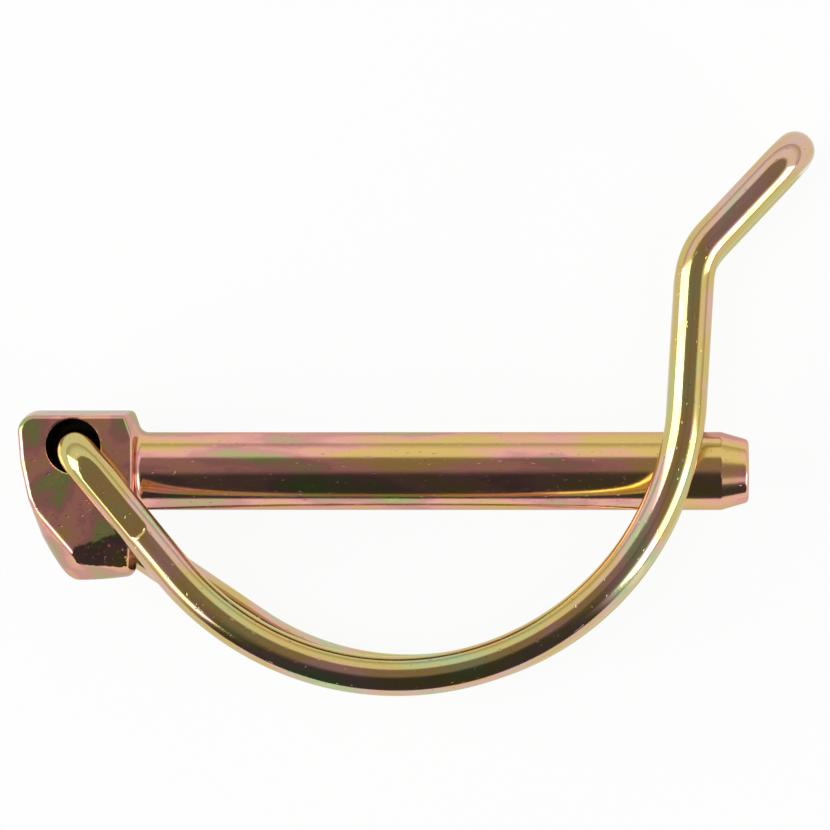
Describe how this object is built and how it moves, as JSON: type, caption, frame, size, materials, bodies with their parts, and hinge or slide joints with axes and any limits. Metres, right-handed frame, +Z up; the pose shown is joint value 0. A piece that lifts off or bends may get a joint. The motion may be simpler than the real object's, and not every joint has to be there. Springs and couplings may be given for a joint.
{
  "type": "linch pin with spring-wire bow",
  "caption": "Forged locking pin with an offset head and a spring-wire bow that swings over the tip to keep the pin in a cross-drilled tube.",
  "frame": {"origin": "on the pin's axis, where the plain shank meets the head", "axes": "+X along the pin towards its tip, +Z up as the part lies on the rear leg of its bow, +Y towards the bow's handle"},
  "size_m": [0.102, 0.0718, 0.024],
  "materials": {
    "pin_zinc": "forged steel, zinc plated, yellow iridescent passivation",
    "bow_zinc": "drawn spring wire, zinc plated, yellow iridescent passivation"
  },
  "bodies": {
    "pin": {"pin": "pin_zinc"},
    "bow": {"bow": "bow_zinc"}
  },
  "joints": [
    {"name": "bow_swing", "type": "hinge", "parent": "pin", "child": "bow", "pos_m": [-0.0082, 0.0029, 0], "axis": [0, 0, -1], "range_deg": [0, 180]}
  ]
}
